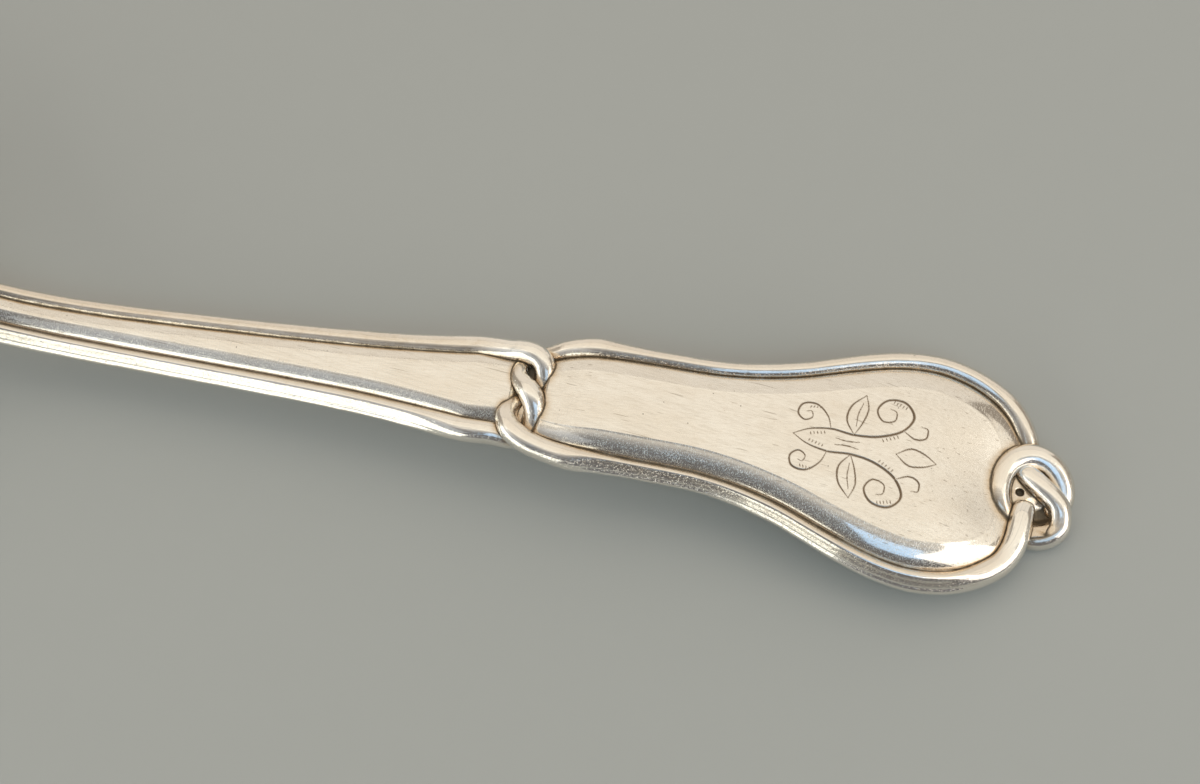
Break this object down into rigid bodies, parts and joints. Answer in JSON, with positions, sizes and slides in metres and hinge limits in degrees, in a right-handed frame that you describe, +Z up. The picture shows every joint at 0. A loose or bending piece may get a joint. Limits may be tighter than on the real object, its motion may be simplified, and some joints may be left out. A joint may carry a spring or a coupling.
{
  "type": "sugar sifter spoon",
  "caption": "Silver sifter spoon with a pierced oval bowl, a stem bordered by round wire that twists across itself at the waist, and an overhand knot at the tip of a flared terminal.",
  "frame": {"origin": "middle of the flat under the bowl, on the surface that the spoon rests on", "axes": "+X from the bowl along the handle to the tip, +Z up out of the open bowl, +Y to the left of the handle seen from the bowl"},
  "size_m": [0.1797, 0.046, 0.0156],
  "materials": {
    "bowl_silver": "polished silver with fine use scratches, darker tarnish in the piercings",
    "wire_silver": "polished silver wire, brown tarnish where it meets the panels",
    "panel_silver": "satin worn silver with fine scratches and an engraved flourish"
  },
  "bodies": {
    "root": {"bowl": "bowl_silver", "heel_drop": "wire_silver", "stem_bar": "panel_silver", "border_wire_left": "wire_silver", "border_wire_right": "wire_silver", "terminal_plate": "panel_silver", "tip_knot": "wire_silver"}
  },
  "joints": []
}
